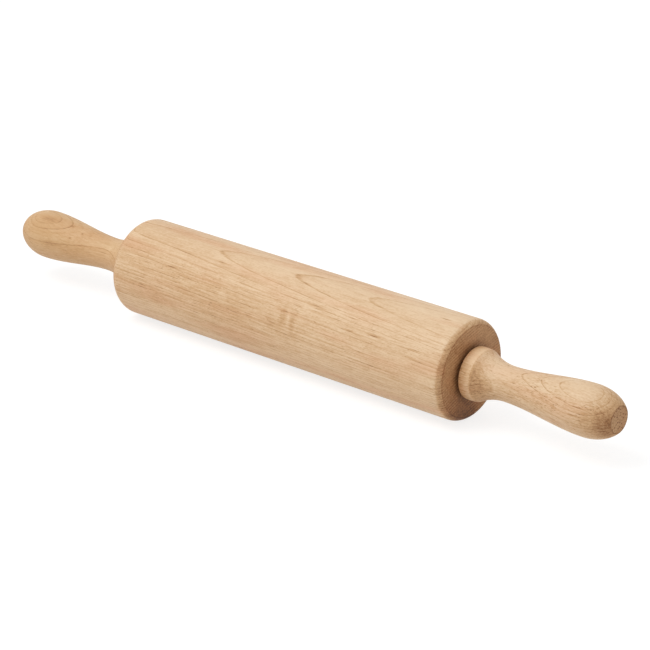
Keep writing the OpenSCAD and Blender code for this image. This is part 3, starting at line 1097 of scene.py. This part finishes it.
class PIN_OT_finish_axle(bpy.types.Operator):
    """Give the axle, spacers, washers and lock nuts their steel and nylon"""

    bl_idname = "pin.finish_axle"
    bl_label = "Axle and Fasteners"

    def execute(self, context):
        finish = context.scene.pin_finish
        drawn = metal("drawn_steel", finish.steel, roughness=0.34, lines=0.25, mottle_size=9.0)
        zinc = metal("zinc_plated_steel", finish.zinc, roughness=0.36, lines=0.4, mottle_size=2.5)
        blue = nylon("blue_nylon", finish.insert)
        coat("axle_rod", drawn)
        for side in SIDES:
            for piece in ("spacer", "nut_washer", "lock_nut"):
                coat(f"{side}_{piece}", zinc)
            coat(f"{side}_nut_insert", blue)
        return {"FINISHED"}


class PIN_OT_finish_bearings(bpy.types.Operator):
    """Give the races, balls, cages and shields of both ball bearings their finish"""

    bl_idname = "pin.finish_bearings"
    bl_label = "Bearings"

    def execute(self, context):
        finish = context.scene.pin_finish
        ground = metal("bearing_steel", finish.steel, roughness=0.22, lines=0.12, mottle_size=6.0)
        polished = metal("polished_steel", finish.steel, roughness=0.10, lines=0.5, mottle_size=3.0)
        pressed = metal("shield_steel", finish.shield, roughness=0.38, lines=0.3, mottle_size=4.0)
        white = nylon("cage_nylon", finish.cage)
        pieces = {
            "inner_race": ground, "outer_race": ground, "balls": polished, "cage": white,
            "inboard_shield": pressed, "outboard_shield": pressed,
        }
        for side in SIDES:
            for piece, material in pieces.items():
                coat(f"{side}_{piece}", material)
        return {"FINISHED"}


def grey(level):
    return (level, level, level, 1.0)


WHITE = grey(1.0)


def stage_floor(stage):
    """A plain floor that shows white and keeps the pin's shadow."""
    deselect()
    bpy.ops.mesh.primitive_plane_add(size=stage.floor_size, location=(0, 0, cad_low.z))
    floor = bpy.context.object
    floor.name = "floor"
    recipe = new_recipe("floor_paper")
    plain = recipe.node("ShaderNodeBsdfDiffuse", {}, {"Color": (*stage.floor, 1.0)})
    soft = recipe.node("ShaderNodeBsdfDiffuse", {}, {"Color": grey(stage.floor_shade)})
    glow = recipe.node("ShaderNodeEmission", {}, {"Color": WHITE, "Strength": stage.floor_glow})
    seen = recipe.node("ShaderNodeAddShader", {}, {0: soft, 1: glow})
    both = recipe.node("ShaderNodeMixShader", {}, {0: recipe.looked_at(), 1: plain, 2: seen})
    recipe.node("ShaderNodeOutputMaterial", {}, {"Surface": both})
    floor.data.materials.append(recipe.owner)


def stage_world(stage):
    """White where the camera or a reflection looks at it, and a soft even light otherwise."""
    world = bpy.data.worlds.new("studio")
    bpy.context.scene.world = world
    recipe = Recipe(world)
    dim = recipe.node("ShaderNodeBackground", {}, {"Color": WHITE, "Strength": stage.sky})
    seen = recipe.node("ShaderNodeBackground", {}, {"Color": WHITE, "Strength": 1.0})
    both = recipe.node("ShaderNodeMixShader", {}, {0: recipe.looked_at(), 1: dim, 2: seen})
    recipe.node("ShaderNodeOutputWorld", {}, {"Surface": both})


def add_aimed(name, data, place, target):
    """Adds a lamp or a camera that looks from its place to a target."""
    made = bpy.data.objects.new(name, data)
    bpy.context.scene.collection.objects.link(made)
    made.location = place
    made.rotation_euler = (Vector(target) - Vector(place)).to_track_quat("-Z", "Y").to_euler()
    return made


def stage_lamp(stage):
    lamp = bpy.data.lights.new("key", "AREA")
    lamp.shape = "DISK"
    lamp.size = stage.lamp_width
    lamp.energy = stage.lamp_power
    add_aimed("key", lamp, stage.lamp_place, (0, 0, 0))


def stage_camera(stage):
    camera = bpy.data.cameras.new("camera")
    camera.sensor_width = stage.sensor
    camera.lens = stage.lens
    bpy.context.scene.camera = add_aimed("camera", camera, stage.camera_place, stage.camera_target)


class PIN_OT_set_stage(bpy.types.Operator):
    """Set up the floor, the soft studio light and the camera"""

    bl_idname = "pin.set_stage"
    bl_label = "Stage"

    def execute(self, context):
        stage = context.scene.pin_stage
        stage_floor(stage)
        stage_world(stage)
        stage_lamp(stage)
        stage_camera(stage)
        context.scene.view_settings.view_transform = "Standard"
        return {"FINISHED"}


STEPS = (
    PIN_OT_turn_barrel, PIN_OT_turn_handles, PIN_OT_turn_plugs, PIN_OT_finish_axle,
    PIN_OT_finish_bearings, PIN_OT_set_stage,
)


class PIN_PT_panel(bpy.types.Panel):
    """Lists the steps in the order in which they are run"""

    bl_idname = "PIN_PT_panel"
    bl_label = "Rolling Pin"
    bl_space_type = "VIEW_3D"
    bl_region_type = "UI"
    bl_category = "Rolling Pin"

    def draw(self, context):
        scene = context.scene
        for group in (scene.pin_sizes, scene.pin_finish, scene.pin_stage):
            box = self.layout.box()
            for key in group.__annotations__:
                box.prop(group, key)
        for step in STEPS:
            self.layout.operator(step.bl_idname)


CLASSES = (PinSizes, PinFinish, PinStage, *STEPS, PIN_PT_panel)


def register():
    for one in CLASSES:
        bpy.utils.register_class(one)
    bpy.types.Scene.pin_sizes = PointerProperty(type=PinSizes)
    bpy.types.Scene.pin_finish = PointerProperty(type=PinFinish)
    bpy.types.Scene.pin_stage = PointerProperty(type=PinStage)


def unregister():
    del bpy.types.Scene.pin_stage
    del bpy.types.Scene.pin_finish
    del bpy.types.Scene.pin_sizes
    for one in reversed(CLASSES):
        bpy.utils.unregister_class(one)


def main():
    register()
    bpy.ops.pin.turn_barrel()
    bpy.ops.pin.turn_handles()
    bpy.ops.pin.turn_plugs()
    bpy.ops.pin.finish_axle()
    bpy.ops.pin.finish_bearings()
    bpy.ops.pin.set_stage()


if __name__ == "__main__":
    main()
